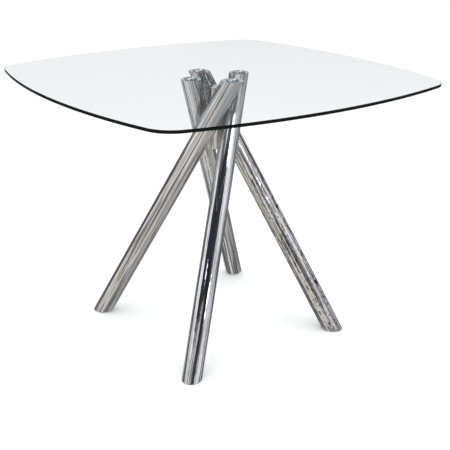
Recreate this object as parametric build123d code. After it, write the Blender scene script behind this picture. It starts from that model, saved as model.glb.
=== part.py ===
"""Dining table: a bowed square glass top resting on four crossing chromed steel tubes.

The four tubes lean like the poles of a tepee. Each one starts at a foot below a corner of the glass, passes
a round hub bar on the table's centre line and ends flat under the glass, an eighth of a turn past the far
side. The glass lies loose on four clear pads, and each foot hides a screw leveller.

Frame: millimetres, +Z up, origin on the floor at the table's centre, the glass's sides along X and Y.
"""

from build123d import *

import math
import os

# Overall sizes
TABLE_HEIGHT = 750.0
GLASS_THICKNESS = 8.0
GLASS_CORNER_HALF = 435.5  # half the side of the square through the corners, before rounding
GLASS_BOW = 60.0  # how far the middle of each side stands out past that square
GLASS_CORNER_RADIUS = 80.0
GLASS_ARRIS = 1.0  # the small bevel ground along both rims of the glass

# Tubes
TUBE_DIAMETER = 54.0
TUBE_WALL = 2.0
FOOT_REACH = 355.0  # from the centre line to a tube's axis, at floor level
TOP_REACH = 80.0  # the same at the top of the tube
TWIST = 135.0  # degrees round the centre line from a tube's foot to its top
FLOOR_GAP = 2.0  # the levellers hold the tube ends this far above the floor
RIM_ROUNDING = 0.6  # polished edge at the tube's top end

# What lies between the tubes and the glass
PAD_THICKNESS = 3.0
PAD_RADIUS = 18.0
CAP_THICKNESS = 3.0
SEAT_GAP = 0.02  # an inserted plate stays this far inside the bore

# Hub where the tubes pass each other
HUB_LENGTH = 170.0
HUB_GAP = 0.3  # between the hub and each tube, bridged by the weld
HUB_ROUNDING = 4.0
WELD_RADIUS = 9.0

# Screw leveller in each foot
THREAD_RADIUS = 4.0  # M8
THREAD_CLEARANCE = 0.05
NUT_ACROSS_FLATS = 13.0
NUT_HEIGHT = 6.5
PLATE_BOTTOM = 16.0  # height of the foot plate above the floor
PLATE_THICKNESS = 4.0
PLATE_HOLE_RADIUS = 4.5
STUD_TOP = 44.0
STUD_CHAMFER = 1.0
COLLAR_BOTTOM = 9.4
COLLAR_HEIGHT = 4.0
GLIDE_RADIUS = 16.0
GLIDE_HEIGHT = 9.0
SOCKET_CLEARANCE = 0.1

# Worked out from the sizes above
GLASS_UNDERSIDE = TABLE_HEIGHT - GLASS_THICKNESS
TUBE_TOP = GLASS_UNDERSIDE - PAD_THICKNESS
TUBE_RADIUS = TUBE_DIAMETER / 2
BORE_RADIUS = TUBE_RADIUS - TUBE_WALL
FIRST_FOOT_ANGLE = 45.0
CORNERS = ("back_right", "back_left", "front_left", "front_right")  # anticlockwise from +X +Y


def on_circle(radius, degrees, height):
    """A point at that distance and direction from the centre line."""
    angle = math.radians(degrees)
    return Vector(radius * math.cos(angle), radius * math.sin(angle), height)


FOOT = on_circle(FOOT_REACH, FIRST_FOOT_ANGLE, 0)
HEAD = on_circle(TOP_REACH, FIRST_FOOT_ANGLE + TWIST, TUBE_TOP)
LEAN = (HEAD - FOOT).normalized()


def axis_point(height):
    """Where the first tube's axis is at that height."""
    return FOOT + LEAN * (height / LEAN.Z)


def waist_height():
    """The height at which the first tube's axis is nearest the centre line."""
    run = HEAD - FOOT
    along = -(FOOT.X * run.X + FOOT.Y * run.Y) / (run.X**2 + run.Y**2)
    return along * TUBE_TOP


WAIST = axis_point(waist_height())
WAIST_RADIUS = math.hypot(WAIST.X, WAIST.Y)
HUB_RADIUS = WAIST_RADIUS - TUBE_RADIUS - HUB_GAP
LEVELLER = axis_point(PLATE_BOTTOM + PLATE_THICKNESS / 2)  # the stud stands on this spot of the plate


def leaning_rod(radius):
    """A rod along the first tube's axis, longer than the tube at both ends."""
    spare = 2 * TUBE_DIAMETER
    length = (HEAD - FOOT).length + 2 * spare
    return Plane(origin=FOOT - LEAN * spare, z_dir=LEAN) * extrude(Circle(radius), length)


def slab(low, high):
    """All the space between two heights, wide enough for any piece."""
    return Pos(0, 0, low) * extrude(Rectangle(4 * FOOT_REACH, 4 * FOOT_REACH), high - low)


def turned(profile):
    """A round piece about the leveller's upright axis, from its half outline of (radius, height) points."""
    outline = Polyline(*[(r, 0, z) for r, z in profile], close=True)
    return Pos(LEVELLER.X, LEVELLER.Y, 0) * revolve(make_face(outline), Axis.Z)


def upright_hexagon(across_flats, bottom, height):
    corner_radius = across_flats / math.sqrt(3)
    return Pos(LEVELLER.X, LEVELLER.Y, bottom) * extrude(RegularPolygon(corner_radius, 6), height)


def upright_pin(radius, bottom, height):
    return Pos(LEVELLER.X, LEVELLER.Y, bottom) * extrude(Circle(radius), height)


def glass_top():
    """The bowed square sheet, its corners rounded and both rims bevelled."""
    half = GLASS_CORNER_HALF
    side = ThreePointArc((half, -half), (half + GLASS_BOW, 0), (half, half))
    outline = Wire([Rot(0, 0, 90 * turn) * side.edge() for turn in range(4)])
    plate = make_face(outline)
    plate = fillet(plate.vertices(), GLASS_CORNER_RADIUS)
    sheet = Pos(0, 0, GLASS_UNDERSIDE) * extrude(plate, GLASS_THICKNESS)
    rims = sheet.faces().sort_by(Axis.Z)[0].edges() + sheet.faces().sort_by(Axis.Z)[-1].edges()
    return chamfer(rims, GLASS_ARRIS)


def tube():
    """The steel tube, both ends cut level and the top rim polished round."""
    pipe = (leaning_rod(TUBE_RADIUS) - leaning_rod(BORE_RADIUS)) & slab(FLOOR_GAP, TUBE_TOP)
    end_face = pipe.faces().sort_by(Axis.Z)[-1]
    return fillet(end_face.outer_wire().edges(), RIM_ROUNDING)


def bore_plate(low, high):
    """A level plate that fills the tube's bore between two heights."""
    return leaning_rod(BORE_RADIUS - SEAT_GAP) & slab(low, high)


def top_cap():
    return bore_plate(TUBE_TOP - CAP_THICKNESS, TUBE_TOP)


def glass_pad():
    """A clear disc with a rounded rim and a shallow dish, so that it holds the glass on a ring."""
    rim = 0.8
    dish_radius = 11.0
    dish_depth = 0.8
    dish_floor = 6.0
    centre = axis_point(TUBE_TOP)
    top = PAD_THICKNESS
    outline = Polyline(
        (0, 0, 0),
        (PAD_RADIUS, 0, 0),
        (PAD_RADIUS, 0, top - rim),
        (PAD_RADIUS - rim, 0, top),
        (dish_radius, 0, top),
        (dish_floor, 0, top - dish_depth),
        (0, 0, top - dish_depth),
        close=True,
    )
    return Pos(centre.X, centre.Y, TUBE_TOP) * revolve(make_face(outline), Axis.Z)


def hub_bar():
    return Pos(0, 0, WAIST.Z - HUB_LENGTH / 2) * extrude(Circle(HUB_RADIUS), HUB_LENGTH)


def hub_core():
    """The round bar on the centre line that all four tubes are welded to."""
    return fillet(hub_bar().edges().filter_by(GeomType.CIRCLE), HUB_ROUNDING)


def hub_weld():
    """The weld between the hub and the first tube: a round bead hollowed by both of them."""
    outward = Vector(WAIST.X, WAIST.Y, 0).normalized()
    inner_end = HUB_RADIUS / 2
    start = Vector(0, 0, WAIST.Z) + outward * inner_end
    bead = Plane(origin=start, z_dir=outward) * extrude(Circle(WELD_RADIUS), WAIST_RADIUS - inner_end)
    return bead - hub_bar() - leaning_rod(TUBE_RADIUS)


def foot_plate():
    """The plate welded inside the tube's lower end, with a hole for the stud."""
    plate = bore_plate(PLATE_BOTTOM, PLATE_BOTTOM + PLATE_THICKNESS)
    return plate - upright_pin(PLATE_HOLE_RADIUS, PLATE_BOTTOM, PLATE_THICKNESS)


def weld_nut():
    """The hexagon nut on top of the foot plate."""
    bottom = PLATE_BOTTOM + PLATE_THICKNESS
    body = upright_hexagon(NUT_ACROSS_FLATS, bottom, NUT_HEIGHT)
    return body - upright_pin(THREAD_RADIUS + THREAD_CLEARANCE, bottom, NUT_HEIGHT)


SNAP_PROFILE = ((4.0, 3.0), (5.0, 4.2), (5.0, 5.8), (3.6, 7.4))  # (radius, height) of the stud's snap bead
NECK_RADIUS = SNAP_PROFILE[-1][0]


def leveller_stud():
    """The screw: a snap bead that turns in the glide, a hexagon collar and a threaded shank."""
    shank = THREAD_RADIUS
    outline = [
        (0, SNAP_PROFILE[0][1]),
        *SNAP_PROFILE,
        (NECK_RADIUS, COLLAR_BOTTOM),
        (shank, COLLAR_BOTTOM),
        (shank, STUD_TOP - STUD_CHAMFER),
        (shank - STUD_CHAMFER, STUD_TOP),
        (0, STUD_TOP),
    ]
    return turned(outline) + upright_hexagon(NUT_ACROSS_FLATS, COLLAR_BOTTOM, COLLAR_HEIGHT)


def leveller_glide():
    """The nylon foot that stands on the floor, with a socket that snaps over the stud's bead."""
    bevel = 1.5
    gap = SOCKET_CLEARANCE
    bead_low, bead_wide, bead_high, bead_top = SNAP_PROFILE
    outline = [
        (0, 0),
        (GLIDE_RADIUS - bevel / 2, 0),
        (GLIDE_RADIUS, bevel / 2),
        (GLIDE_RADIUS, GLIDE_HEIGHT - 2 * bevel),
        (GLIDE_RADIUS - 2 * bevel, GLIDE_HEIGHT),
        (NECK_RADIUS + gap, GLIDE_HEIGHT),
        (bead_top[0] + gap, bead_top[1] + gap),
        (bead_high[0] + gap, bead_high[1] + gap),
        (bead_wide[0] + gap, bead_wide[1] - gap),
        (bead_low[0] + gap, bead_low[1] - gap),
        (0, bead_low[1] - gap),
    ]
    return turned(outline)


FOUR_OF_EACH = {
    "tube": tube,
    "top_cap": top_cap,
    "glass_pad": glass_pad,
    "hub_weld": hub_weld,
    "foot_plate": foot_plate,
    "weld_nut": weld_nut,
    "leveller_stud": leveller_stud,
    "leveller_glide": leveller_glide,
}


def write(shape, name):
    export_step(shape, f"parts/{name}.step")


def main():
    os.makedirs("parts", exist_ok=True)
    write(glass_top(), "glass_top")
    write(hub_core(), "hub_core")
    for name, make in FOUR_OF_EACH.items():
        piece = make()
        for turn, corner in enumerate(CORNERS):
            write(Rot(0, 0, 90 * turn) * piece, f"{name}_{corner}")
    print(f"hub radius {HUB_RADIUS:.3f}, waist height {WAIST.Z:.2f}, waist radius {WAIST_RADIUS:.3f}")
    print(f"leveller axis of the first foot {LEVELLER.X:.4f}, {LEVELLER.Y:.4f}")


main()
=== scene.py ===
"""The looks of a glass dining table on four crossing chrome tubes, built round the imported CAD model."""

import collections
import math

import bmesh
import bpy
from mathutils import Matrix, Vector

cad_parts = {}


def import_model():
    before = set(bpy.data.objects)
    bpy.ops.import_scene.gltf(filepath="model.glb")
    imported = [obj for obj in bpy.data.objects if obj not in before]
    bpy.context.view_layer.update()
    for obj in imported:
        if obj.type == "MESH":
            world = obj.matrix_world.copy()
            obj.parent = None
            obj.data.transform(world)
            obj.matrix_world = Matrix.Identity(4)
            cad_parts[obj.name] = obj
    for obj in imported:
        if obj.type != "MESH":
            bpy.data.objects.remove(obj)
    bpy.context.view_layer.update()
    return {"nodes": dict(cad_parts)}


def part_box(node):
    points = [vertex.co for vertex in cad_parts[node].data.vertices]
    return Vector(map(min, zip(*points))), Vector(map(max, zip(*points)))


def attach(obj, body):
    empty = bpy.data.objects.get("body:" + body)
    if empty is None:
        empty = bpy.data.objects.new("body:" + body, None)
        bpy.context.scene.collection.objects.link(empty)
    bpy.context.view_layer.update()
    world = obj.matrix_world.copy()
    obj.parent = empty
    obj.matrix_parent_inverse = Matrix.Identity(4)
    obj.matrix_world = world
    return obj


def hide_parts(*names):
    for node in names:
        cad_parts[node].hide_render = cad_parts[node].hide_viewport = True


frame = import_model()
nodes = frame["nodes"]
MM = 0.001
CORNERS = ("back_right", "back_left", "front_left", "front_right")


# ---------------------------------------------------------------- node helpers


class Tree:
    """A short way to build a node tree. A node's inputs may be numbers or other nodes' outputs."""

    def __init__(self, node_tree):
        self.tree = node_tree
        self.tree.nodes.clear()

    def add(self, kind, settings=None, **inputs):
        node = self.tree.nodes.new(kind)
        for name, value in (settings or {}).items():
            setattr(node, name, value)
        for name, value in inputs.items():
            self.feed(node, name, value)
        return node

    def feed(self, node, name, value):
        """name is a socket's name with _ for spaces, or in0, in1 for a socket by its place."""
        if name.startswith("in") and name[2:].isdigit():
            socket = node.inputs[int(name[2:])]
        else:
            socket = node.inputs[name.replace("_", " ")]
        if isinstance(value, bpy.types.NodeSocket):
            self.tree.links.new(value, socket)
        else:
            socket.default_value = value

    def math(self, operation, *values):
        places = {f"in{i}": value for i, value in enumerate(values)}
        return self.add("ShaderNodeMath", {"operation": operation}, **places).outputs[0]

    def vector(self, operation, *values):
        places = {f"in{i}": value for i, value in enumerate(values)}
        node = self.add("ShaderNodeVectorMath", {"operation": operation}, **places)
        return node.outputs["Value" if operation == "DOT_PRODUCT" else "Vector"]

    def between(self, value, low, high, out_low=0.0, out_high=1.0):
        """value eased from the range low..high to out_low..out_high, and held at its ends."""
        node = self.add("ShaderNodeMapRange", {"interpolation_type": "SMOOTHSTEP"})
        for place, number in zip(range(5), (value, low, high, out_low, out_high)):
            self.feed(node, f"in{place}", number)
        return node.outputs["Result"]

    def noise(self, vector, scale, detail=2.0, roughness=0.5):
        node = self.add("ShaderNodeTexNoise", Scale=scale, Detail=detail, Roughness=roughness, Vector=vector)
        return node.outputs["Fac"]

    def stretched_noise(self, vector, scales, detail=2.0, roughness=0.5):
        """Noise with its own scale, in features to a metre, along each axis."""
        return self.noise(self.vector("MULTIPLY", vector, scales), 1.0, detail, roughness)

    def bump(self, height, depth, strength=1.0, **inputs):
        node = self.add("ShaderNodeBump", Strength=strength, Distance=depth, Height=height, **inputs)
        return node.outputs[0]

    def blend(self, share, first, second):
        settings = {"data_type": "RGBA", "blend_type": "MIX"}
        return self.add("ShaderNodeMix", settings, in0=share, in6=first, in7=second).outputs[2]


def new_material(name):
    material = bpy.data.materials.new(name)
    material.use_nodes = True
    return material, Tree(material.node_tree)


def finish_surface(tree, shader):
    output = tree.add("ShaderNodeOutputMaterial")
    tree.tree.links.new(shader, output.inputs["Surface"])


def rgba(red, green, blue):
    return (red, green, blue, 1.0)


# ---------------------------------------------------------------- places taken from the frame


def middle(node):
    low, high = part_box(node)
    return (low + high) / 2


def tube_axis(corner):
    """The direction of a tube, from where its leveller passes the foot plate to the middle of its top end."""
    leveller = middle(f"leveller_glide_{corner}")
    foot = Vector((leveller.x, leveller.y, middle(f"foot_plate_{corner}").z))
    pad = middle(f"glass_pad_{corner}")
    top = Vector((pad.x, pad.y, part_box(f"tube_{corner}")[1].z))
    return (top - foot).normalized()


# ---------------------------------------------------------------- materials

GLASS_IOR = 1.5

# How one tube's chrome is dented, and how far painted dark reflection streaks spread on it. The dents' depth
# is in metres, and their fineness is how many there are to a metre across the tube. The last field is how far
# the painted dark reflection streaks have spread, from 0 for the fewest.
Finish = collections.namedtuple("Finish", "dent_depth dent_fineness streaks")

HUB_DENTS_AND_PAINTED_STREAKS = Finish(0.3 * MM, 40.0, 0.0)
TUBE_DENTS_AND_PAINTED_STREAKS = {
    "back_right": Finish(0.6 * MM, 40.0, 0.01),
    "back_left": Finish(0.6 * MM, 30.0, 0.02),
    "front_left": Finish(0.5 * MM, 45.0, 0.02),
    "front_right": Finish(2.2 * MM, 60.0, 0.08),
}


def chrome_material(name, axis, finish):
    """Chromium plate over drawn tube: mirror bright, with polishing lines and faint waves along its axis.

    It is dented towards the foot and round the hub. Its colour has painted light and dark reflection streaks
    along the polishing lines, more of the dark ones towards the foot. Above the hub, where the tubes crowd
    together, it also has painted near-black spots of shade and of dark mirrored neighbours.
    """
    material, tree = new_material(name)
    place = tree.add("ShaderNodeTexCoord").outputs["Object"]
    turn = axis.to_track_quat("Z", "Y").inverted().to_euler()
    along = tree.add("ShaderNodeMapping", Vector=place, Rotation=turn).outputs[0]
    height = tree.add("ShaderNodeSeparateXYZ", Vector=place).outputs["Z"]
    level = tree.vector("MULTIPLY", place, (1.0, 1.0, 0.0))
    hub_distance_squared = tree.vector("DOT_PRODUCT", level, level)
    near_hub = tree.between(hub_distance_squared, (52 * MM) ** 2, (70 * MM) ** 2, 1.0, 0.0)

    lines = tree.stretched_noise(along, (330.0, 330.0, 5.0), 3.0, 0.6)
    # painted reflection: light and dark streaks along the polishing lines in the chrome's colour
    plate = tree.blend(tree.between(lines, 0.36, 0.58), rgba(0.60, 0.595, 0.59), rgba(0.80, 0.795, 0.79))
    # painted reflection: near-black streaks along the axis, spreading further towards the foot, as painted
    # dark mirrored things
    streaks = tree.stretched_noise(along, (140.0, 140.0, 3.5))
    spread = tree.between(height, 0.15, 0.50, finish.streaks + 0.05, finish.streaks)
    streak_share = tree.between(tree.math("SUBTRACT", streaks, spread), 0.30, 0.38, 0.8, 0.0)
    streaked = tree.blend(streak_share, plate, rgba(0.20, 0.20, 0.21))
    # painted shade and reflection: near-black spots above the hub, where the tubes crowd together
    above_hub = tree.math("MULTIPLY", near_hub, tree.between(height, 0.61, 0.67))
    spots = tree.stretched_noise(along, (170.0, 170.0, 50.0))
    painted_dark_spots = tree.math("MULTIPLY", tree.between(spots, 0.49, 0.54, 0.0, 0.85), above_hub)
    colour = tree.blend(painted_dark_spots, streaked, rgba(0.05, 0.05, 0.06))

    smears = tree.stretched_noise(along, (30.0, 30.0, 12.0), 5.0, 0.65)
    smeared = tree.between(smears, 0.5, 0.75, 0.0, 0.03)
    rough = tree.math("ADD", tree.between(lines, 0.3, 0.8, 0.01, 0.025), smeared)

    across = finish.dent_fineness
    dents = tree.stretched_noise(along, (across, across, across / 2.5))
    wear = tree.math("ADD", tree.between(height, 0.38, 0.55, 1.0, 0.2), near_hub)
    dented = tree.math("MULTIPLY", dents, wear)
    waves = tree.stretched_noise(along, (22.0, 22.0, 3.5), 1.0)
    surface = tree.bump(lines, 0.05 * MM, 0.25)
    surface = tree.bump(dented, finish.dent_depth, Normal=surface)
    surface = tree.bump(waves, 0.6 * MM, Normal=surface)
    shader = tree.add(
        "ShaderNodeBsdfPrincipled", Metallic=1.0, Base_Color=colour, Roughness=rough, Normal=surface
    )
    finish_surface(tree, shader.outputs[0])
    return material


def glass_face_material():
    """Clear float glass: it bends what is behind it, and has a slight cool tint and a weak gloss."""
    material, tree = new_material("glass_clear")
    place = tree.add("ShaderNodeTexCoord").outputs["Object"]
    wiped = tree.stretched_noise(place, (6.0, 14.0, 1.0), 5.0, 0.6)
    tint = tree.blend(wiped, rgba(0.900, 0.907, 0.914), rgba(0.910, 0.917, 0.924))
    rough = tree.between(wiped, 0.45, 0.8, 0.0, 0.02)
    surface = tree.bump(tree.noise(place, 7.0, 1.0), 0.2 * MM, 0.2)
    bent = tree.add("ShaderNodeBsdfRefraction", Color=tint, Roughness=0.0, IOR=GLASS_IOR)
    white = rgba(1.0, 1.0, 1.0)
    gloss = tree.add("ShaderNodeBsdfAnisotropic", Color=white, Roughness=rough, Normal=surface)
    share = tree.add("ShaderNodeFresnel", IOR=GLASS_IOR, Normal=surface).outputs[0]
    weak = tree.math("MULTIPLY", share, 0.13)
    glass = tree.add("ShaderNodeMixShader", in0=weak, in1=bent.outputs[0], in2=gloss.outputs[0])
    clear = tree.add("ShaderNodeBsdfTransparent", Color=rgba(0.95, 0.955, 0.96))
    lamp_ray = tree.add("ShaderNodeLightPath").outputs["Is Shadow Ray"]
    mixed = tree.add("ShaderNodeMixShader", in0=lamp_ray, in1=glass.outputs[0], in2=clear.outputs[0])
    finish_surface(tree, mixed.outputs[0])
    return material


def glass_edge_material():
    """The polished edge, clear from inside. From outside, where one looks along the sheet, it is painted
    nearly black, as painted shade for the dark look light gives a glass edge.
    """
    material, tree = new_material("glass_edge")
    place = tree.add("ShaderNodeTexCoord").outputs["Object"]
    ground = tree.stretched_noise(place, (60.0, 60.0, 900.0), 3.0)
    # painted shade: the edge's near-black colour stands in for the dark look light gives a glass edge seen
    # along the sheet
    colour = tree.blend(ground, rgba(0.002, 0.003, 0.003), rgba(0.008, 0.011, 0.010))
    rough = tree.between(ground, 0.3, 0.7, 0.04, 0.12)
    dark = tree.add(
        "ShaderNodeBsdfPrincipled", Base_Color=colour, Roughness=rough, IOR=GLASS_IOR, Specular_IOR_Level=0.06
    )
    clear = tree.add("ShaderNodeBsdfTransparent", Color=rgba(0.84, 0.88, 0.87))
    inside = tree.add("ShaderNodeNewGeometry").outputs["Backfacing"]
    mixed = tree.add("ShaderNodeMixShader", in0=inside, in1=dark.outputs[0], in2=clear.outputs[0])
    finish_surface(tree, mixed.outputs[0])
    return material


def pad_material():
    """Clear polyurethane with a green tint and a painted white highlight line across it. On one side of the
    line the tint is painted a paler grey, as a painted lit side; the line lies the same way on every pad.
    """
    material, tree = new_material("clear_polyurethane")
    place = tree.add("ShaderNodeTexCoord").outputs["Object"]
    in_pad = tree.add("ShaderNodeTexCoord").outputs["Generated"]
    rough = tree.between(tree.noise(place, 220.0, 3.0), 0.3, 0.8, 0.02, 0.12)
    from_middle = tree.vector("SUBTRACT", in_pad, (0.5, 0.5, 0.0))
    straight = tree.vector("DOT_PRODUCT", from_middle, (0.59, -0.90, 0.0))
    wander = tree.between(tree.noise(in_pad, 2.5, 0.0), 0.3, 0.7, -0.12, 0.12)
    from_highlight_line = tree.math("ADD", straight, wander)
    # painted light: on one side of the highlight line the tint is painted a paler grey, as a lit side
    painted_lit_side = tree.between(from_highlight_line, -0.05, 0.05)
    colour = tree.blend(painted_lit_side, rgba(0.80, 0.80, 0.78), rgba(0.62, 0.82, 0.74))
    # painted highlight: a white line, mixed in as plain white diffuse, set the same way on every pad
    painted_highlight = tree.between(tree.math("ABSOLUTE", from_highlight_line), 0.05, 0.10, 1.0, 0.0)
    gel = tree.add(
        "ShaderNodeBsdfPrincipled", Base_Color=colour, Roughness=rough, IOR=1.48, Transmission_Weight=1.0
    )
    painted_white = tree.add("ShaderNodeBsdfDiffuse", Color=rgba(1.0, 1.0, 1.0), Roughness=rough)
    mixed = tree.add("ShaderNodeMixShader", in0=painted_highlight, in1=gel.outputs[0], in2=painted_white.outputs[0])
    finish_surface(tree, mixed.outputs[0])
    return material


def zinc_material():
    """Bright zinc plate: finely crystalline, pale blue grey."""
    material, tree = new_material("zinc_plate")
    place = tree.add("ShaderNodeTexCoord").outputs["Object"]
    grain = tree.add("ShaderNodeTexVoronoi", Vector=place, Scale=900.0).outputs["Distance"]
    cloud = tree.noise(place, 120.0, 4.0)
    colour = tree.blend(cloud, rgba(0.50, 0.52, 0.55), rgba(0.68, 0.69, 0.70))
    rough = tree.between(cloud, 0.3, 0.7, 0.22, 0.38)
    surface = tree.bump(grain, 0.1 * MM, 0.15)
    shader = tree.add(
        "ShaderNodeBsdfPrincipled", Metallic=1.0, Base_Color=colour, Roughness=rough, Normal=surface
    )
    finish_surface(tree, shader.outputs[0])
    return material


def nylon_material():
    """Black moulded nylon with a fine spark-eroded texture."""
    material, tree = new_material("black_nylon")
    place = tree.add("ShaderNodeTexCoord").outputs["Object"]
    pits = tree.noise(place, 1800.0, 3.0)
    wear = tree.noise(place, 90.0, 4.0)
    colour = tree.blend(wear, rgba(0.012, 0.012, 0.013), rgba(0.030, 0.030, 0.032))
    rough = tree.between(pits, 0.3, 0.7, 0.42, 0.58)
    surface = tree.bump(pits, 0.1 * MM, 0.3)
    shader = tree.add("ShaderNodeBsdfPrincipled", Base_Color=colour, Roughness=rough, Normal=surface)
    finish_surface(tree, shader.outputs[0])
    return material


def floor_material():
    material, tree = new_material("studio_floor")
    place = tree.add("ShaderNodeTexCoord").outputs["Object"]
    mottle = tree.noise(place, 3.0, 4.0)
    colour = tree.blend(mottle, rgba(0.86, 0.86, 0.86), rgba(0.88, 0.88, 0.88))
    shader = tree.add("ShaderNodeBsdfPrincipled", Base_Color=colour, Roughness=0.9, Specular_IOR_Level=0.1)
    finish_surface(tree, shader.outputs[0])
    return material


# ---------------------------------------------------------------- the glass sheet

GLASS_BOW = 60 * MM  # how far the middle of a side stands out past the corners' square
GLASS_CORNER = 80 * MM  # corner radius
GLASS_ARRIS = 0.8 * MM  # rounding where the polished edge meets the faces
LIFT = 0.05 * MM  # keeps two clear surfaces that touch from lying in one plane


def glass_outline(half, inset):
    """Points round the bowed square, anticlockwise, moved in by inset. half is half its width."""
    square = half - GLASS_BOW
    side_radius = (square**2 + GLASS_BOW**2) / (2 * GLASS_BOW)
    side_centre = half - side_radius
    reach = side_radius - GLASS_CORNER
    corner_centre = (side_centre + math.sqrt(2 * reach**2 - side_centre**2)) / 2
    turn = math.atan2(corner_centre, corner_centre - side_centre)
    side_steps, corner_steps = 36, 14
    points = []
    for quarter in range(4):
        spin = Matrix.Rotation(quarter * math.pi / 2, 2)
        for step in range(side_steps):
            angle = -turn + 2 * turn * step / side_steps
            radius = side_radius - inset
            points.append(spin @ Vector((side_centre + radius * math.cos(angle), radius * math.sin(angle))))
        for step in range(corner_steps):
            angle = turn + (math.pi / 2 - 2 * turn) * step / corner_steps
            radius = GLASS_CORNER - inset
            round_off = Vector((math.cos(angle), math.sin(angle))) * radius
            points.append(spin @ (Vector((corner_centre, corner_centre)) + round_off))
    return points


def edge_profile(low, high):
    """(inset, height) from the underside round the polished edge to the top, with both arrises rounded."""
    steps = 4
    profile = []
    for step in range(steps + 1):
        angle = math.pi / 2 * step / steps
        profile.append((GLASS_ARRIS * (1 - math.sin(angle)), low + GLASS_ARRIS * (1 - math.cos(angle))))
    return profile + [(inset, high + low - height) for inset, height in reversed(profile)]


def ring_of(mesh, points, height):
    return [mesh.verts.new((point.x, point.y, height)) for point in points]


def bridge(mesh, lower, upper, slot, smooth=True):
    count = len(lower)
    for i in range(count):
        j = (i + 1) % count
        face = mesh.faces.new((lower[i], lower[j], upper[j], upper[i]))
        face.material_index = slot
        face.smooth = smooth


def flat_face(mesh, rim, height, upwards):
    """Rings from the rim to the middle, so that the flat side has no long thin triangles."""
    outer = rim
    for share in (0.8, 0.55, 0.3, 0.1):
        inner = [mesh.verts.new((vert.co.x * share, vert.co.y * share, height)) for vert in rim]
        lower, upper = (outer, inner) if upwards else (inner, outer)
        bridge(mesh, lower, upper, 0, smooth=False)
        outer = inner
    mesh.faces.new(outer if upwards else outer[::-1])


def glass_sheet():
    low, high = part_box("glass_top")
    half = high.x
    mesh = bmesh.new()
    profile = edge_profile(low.z + LIFT, high.z)
    rings = [ring_of(mesh, glass_outline(half, inset), height) for inset, height in profile]
    for lower, upper in zip(rings, rings[1:]):
        height = upper[0].co.z - lower[0].co.z
        bridge(mesh, lower, upper, 1 if height > GLASS_ARRIS else 0)
    flat_face(mesh, rings[0], rings[0][0].co.z, upwards=False)
    flat_face(mesh, rings[-1], rings[-1][0].co.z, upwards=True)
    sheet = as_object(mesh, "glass_sheet", [glass_face_material(), glass_edge_material()])
    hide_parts("glass_top")
    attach(sheet, "glass")


def as_object(mesh, name, materials):
    data = bpy.data.meshes.new(name)
    mesh.to_mesh(data)
    mesh.free()
    for material in materials:
        data.materials.append(material)
    piece = bpy.data.objects.new(name, data)
    bpy.context.scene.collection.objects.link(piece)
    return piece


# ---------------------------------------------------------------- the clear pads


def rounded_disc(name, centre, profile, material, segments=72):
    """A solid of revolution about the upright axis through centre, from (radius, height) points."""
    mesh = bmesh.new()
    rings = []
    for radius, height in profile:
        points = []
        for step in range(segments):
            angle = 2 * math.pi * step / segments
            points.append(Vector((centre.x + radius * math.cos(angle), centre.y + radius * math.sin(angle))))
        rings.append(ring_of(mesh, points, height))
    for lower, upper in zip(rings, rings[1:]):
        bridge(mesh, lower, upper, 0)
    mesh.faces.new(rings[0][::-1])
    mesh.faces.new(rings[-1])
    return as_object(mesh, name, [material])


def pad_profile(low, high, radius):
    """A soft pad: a bulging side, a rounded rim and a shallow dish in the middle of its top."""
    rim, bulge, dish_radius, dish_depth = 0.9 * MM, 0.25 * MM, 11 * MM, 0.8 * MM
    profile = [(radius - bulge, low)]
    for step in range(1, 5):
        rise = step / 5
        profile.append((radius - bulge + bulge * math.sin(math.pi * rise), low + (high - low - rim) * rise))
    for step in range(6):
        angle = math.pi / 2 * step / 5
        profile.append((radius - bulge - rim + rim * math.cos(angle), high - rim + rim * math.sin(angle)))
    for step in range(7):
        share = step / 6
        drop = dish_depth * (1 - math.cos(math.pi * share)) / 2
        profile.append((dish_radius * (1 - 0.45 * share), high - drop))
    return profile


def glass_pads(material):
    for corner in CORNERS:
        node = f"glass_pad_{corner}"
        low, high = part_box(node)
        profile = pad_profile(low.z + LIFT, high.z, (high.x - low.x) / 2)
        pad = rounded_disc(f"clear_pad_{corner}", middle(node), profile, material)
        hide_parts(node)
        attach(pad, "base")


# ---------------------------------------------------------------- CAD nodes that keep their shape


def paint(node, material):
    for slot in nodes[node].material_slots:
        slot.material = material


def paint_cad_nodes():
    zinc = zinc_material()
    nylon = nylon_material()
    upright = chrome_material("chrome_hub", Vector((0, 0, 1)), HUB_DENTS_AND_PAINTED_STREAKS)
    paint("hub_core", upright)
    for corner in CORNERS:
        plated = chrome_material(f"chrome_{corner}", tube_axis(corner), TUBE_DENTS_AND_PAINTED_STREAKS[corner])
        paint(f"tube_{corner}", plated)
        paint(f"top_cap_{corner}", plated)
        paint(f"hub_weld_{corner}", upright)
        for part in ("foot_plate", "weld_nut", "leveller_stud"):
            paint(f"{part}_{corner}", zinc)
        paint(f"leveller_glide_{corner}", nylon)


# ---------------------------------------------------------------- studio


def floor():
    size = 60.0
    mesh = bmesh.new()
    bmesh.ops.create_grid(mesh, x_segments=1, y_segments=1, size=size)
    piece = as_object(mesh, "studio_floor", [floor_material()])
    piece.visible_glossy = False  # mirrors see the showroom's floor, which is part of the world


Panel = collections.namedtuple(
    "Panel", "what azimuth elevation half_width half_height softness colour tilt", defaults=(0,)
)

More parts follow.
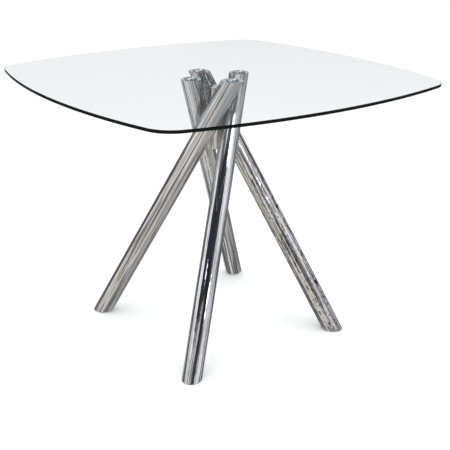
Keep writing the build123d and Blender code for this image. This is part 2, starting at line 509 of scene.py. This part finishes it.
# What the chrome mirrors: a pale showroom. All angles are in degrees, with azimuth from +Y towards +X.
# A later panel covers an earlier one.
PANELS = (
    Panel("pale floor on the left", -108, -24, 46, 26, 10, (0.84, 0.805, 0.76)),
    Panel("greyer floor on the right", 130, -48, 60, 25, 10, (0.50, 0.50, 0.50)),
    Panel("dim wall behind the table", 58, -20, 46, 14, 6, (0.27, 0.27, 0.28)),
    Panel("dim corner behind the table", -12, -3, 28, 9, 3, (0.15, 0.15, 0.16)),
    Panel("bright wall behind the table", 34, 14, 26, 5, 3, (0.95, 0.95, 0.97)),
    Panel("lit wall on the left", -68, 14, 20, 13, 2, (1.20, 1.20, 1.23)),
    Panel("lit wall on the right", 124, -2, 12, 12, 3, (0.70, 0.70, 0.77)),
    Panel("window on the right", 150, 12, 11, 14, 3, (1.15, 1.15, 1.28)),
    Panel("ceiling of the hall", -126, 54, 46, 17, 3, (0.19, 0.19, 0.22)),
    Panel("dark hall above the camera", -130, 35.5, 46, 6, 1.5, (0.035, 0.035, 0.05)),
    Panel("dark cupboard", -160, 23, 22, 6, 1.5, (0.08, 0.08, 0.10)),
    Panel("black doorway", 102, 14, 14, 7.5, 1.0, (0.004, 0.004, 0.005)),
    Panel("dark post", -152, 1, 3.5, 14, 0.8, (0.02, 0.02, 0.02)),
    Panel("second dark post", -118, -18, 3, 14, 0.8, (0.05, 0.05, 0.05)),
    Panel("dark rug", 100, -49, 12, 4, 2, (0.05, 0.05, 0.05)),
    Panel("far window", 79, 2, 7, 4, 1.5, (1.20, 1.20, 1.25)),
    Panel("upper lamp", 175, 30.5, 13, 1.3, 0.6, (5.5, 5.5, 6.0), 25),
    Panel("lower lamp", 174, 18, 5, 1.1, 0.6, (5.5, 5.5, 6.2), 20),
    Panel("far lamp", -118, 32.3, 6, 0.5, 0.4, (2.5, 2.5, 3.2)),
)


def heading(azimuth, elevation):
    a, e = math.radians(azimuth), math.radians(elevation)
    return Vector((math.sin(a) * math.cos(e), math.cos(a) * math.cos(e), math.sin(e)))


def panel_mask(tree, ray, panel):
    """1 where a ray meets the panel, and 0 elsewhere."""
    centre = heading(panel.azimuth, panel.elevation)
    level = centre.cross(Vector((0, 0, 1))).normalized()
    tilt = math.radians(panel.tilt)
    side = level * math.cos(tilt) + level.cross(centre) * math.sin(tilt)
    up = side.cross(centre)
    nearest = 0.05
    ahead = tree.vector("DOT_PRODUCT", ray, centre)
    depth = tree.math("MAXIMUM", ahead, nearest)
    mask = tree.math("GREATER_THAN", ahead, nearest)
    fade = math.tan(math.radians(panel.softness))
    for direction, half in ((side, panel.half_width), (up, panel.half_height)):
        offset = tree.math("DIVIDE", tree.vector("DOT_PRODUCT", ray, direction), depth)
        reach = math.tan(math.radians(half))
        inside = tree.between(tree.math("ABSOLUTE", offset), reach - fade, reach + fade, 1.0, 0.0)
        mask = tree.math("MULTIPLY", mask, inside)
    return mask


def room_lines(tree, ray, scale, thinness):
    """Thin wandering dark lines, for the frames, chair legs and other narrow things in a showroom."""
    ridge = tree.math("ABSOLUTE", tree.math("SUBTRACT", tree.noise(ray, scale, 1.0), 0.5))
    return tree.between(ridge, thinness / 3, thinness, 1.0, 0.0)


def showroom(tree, ray):
    """The colour a mirrored ray meets: a blotchy grey room, its panels, then its thin lines and clutter."""
    blotches = tree.between(tree.noise(ray, 3.2, 1.0), 0.42, 0.58)
    room = tree.blend(blotches, rgba(0.22, 0.22, 0.23), rgba(0.92, 0.92, 0.92))
    for panel in PANELS:
        room = tree.blend(panel_mask(tree, ray, panel), room, rgba(*panel.colour))
    plain_wall = tree.vector("DOT_PRODUCT", ray, heading(35, 14))
    furnished = tree.between(plain_wall, 0.85, 0.95, 1.0, 0.0)
    for scale, thinness, darkness in ((4.5, 0.022, 0.80), (9.0, 0.024, 0.55)):
        lines = tree.math("MULTIPLY", room_lines(tree, ray, scale, thinness), furnished)
        room = tree.blend(tree.math("MULTIPLY", lines, darkness), room, rgba(0.06, 0.06, 0.065))
    clutter = tree.between(tree.noise(ray, 11.0, 2.0), 0.36, 0.42, 0.8, 0.0)
    rise = tree.math("ABSOLUTE", tree.add("ShaderNodeSeparateXYZ", Vector=ray).outputs["Z"])
    near_eye_level = tree.between(rise, 0.30, 0.50, 1.0, 0.0)
    dim = tree.math("MULTIPLY", tree.math("MULTIPLY", clutter, near_eye_level), furnished)
    return tree.blend(dim, room, rgba(0.06, 0.06, 0.06))


def world():
    """Plain white light all round, except in mirrors, which see the showroom."""
    scene_world = bpy.data.worlds.new("studio")
    bpy.context.scene.world = scene_world
    scene_world.use_nodes = True
    tree = Tree(scene_world.node_tree)
    ray = tree.vector("NORMALIZE", tree.add("ShaderNodeTexCoord").outputs["Generated"])
    reflections = tree.add("ShaderNodeLightPath").outputs["Glossy Depth"]
    mirrored = tree.math("GREATER_THAN", reflections, 0.5)
    colour = tree.blend(mirrored, rgba(1.20, 1.20, 1.20), showroom(tree, ray))
    background = tree.add("ShaderNodeBackground", Color=colour, Strength=1.0)
    output = tree.add("ShaderNodeOutputWorld")
    tree.tree.links.new(background.outputs[0], output.inputs["Surface"])


def soft_light(name, place, aim, size, power):
    """A square lamp of that size in metres and power in watts, which mirrors don't see."""
    data = bpy.data.lights.new(name, "AREA")
    data.shape = "SQUARE"
    data.size = size
    data.energy = power
    lamp = bpy.data.objects.new(name, data)
    lamp.location = place
    lamp.rotation_euler = (Vector(aim) - Vector(place)).to_track_quat("-Z", "Y").to_euler()
    lamp.visible_glossy = False
    bpy.context.scene.collection.objects.link(lamp)


CAMERA_PLACE = Vector((-1.3038, -1.8767, 1.2023))
CAMERA_AIM = Vector((0.0101, -0.0343, 0.3148))
CAMERA_LENS = 67.05  # millimetres, for a 36 mm sensor
CAMERA_ROLL = math.radians(0.245)


def camera():
    data = bpy.data.cameras.new("camera")
    data.lens = CAMERA_LENS
    data.sensor_width = 36.0
    eye = bpy.data.objects.new("camera", data)
    looking = (CAMERA_AIM - CAMERA_PLACE).to_track_quat("-Z", "Y").to_matrix().to_4x4()
    eye.matrix_world = Matrix.Translation(CAMERA_PLACE) @ looking @ Matrix.Rotation(CAMERA_ROLL, 4, "Z")
    bpy.context.scene.collection.objects.link(eye)
    bpy.context.scene.camera = eye


camera()
world()
floor()
soft_light("overhead", place=(-0.35, -0.50, 2.8), aim=(-0.15, -0.2, 0.0), size=3.0, power=26)
glass_sheet()
glass_pads(pad_material())
paint_cad_nodes()
bpy.context.scene.view_settings.view_transform = "Standard"
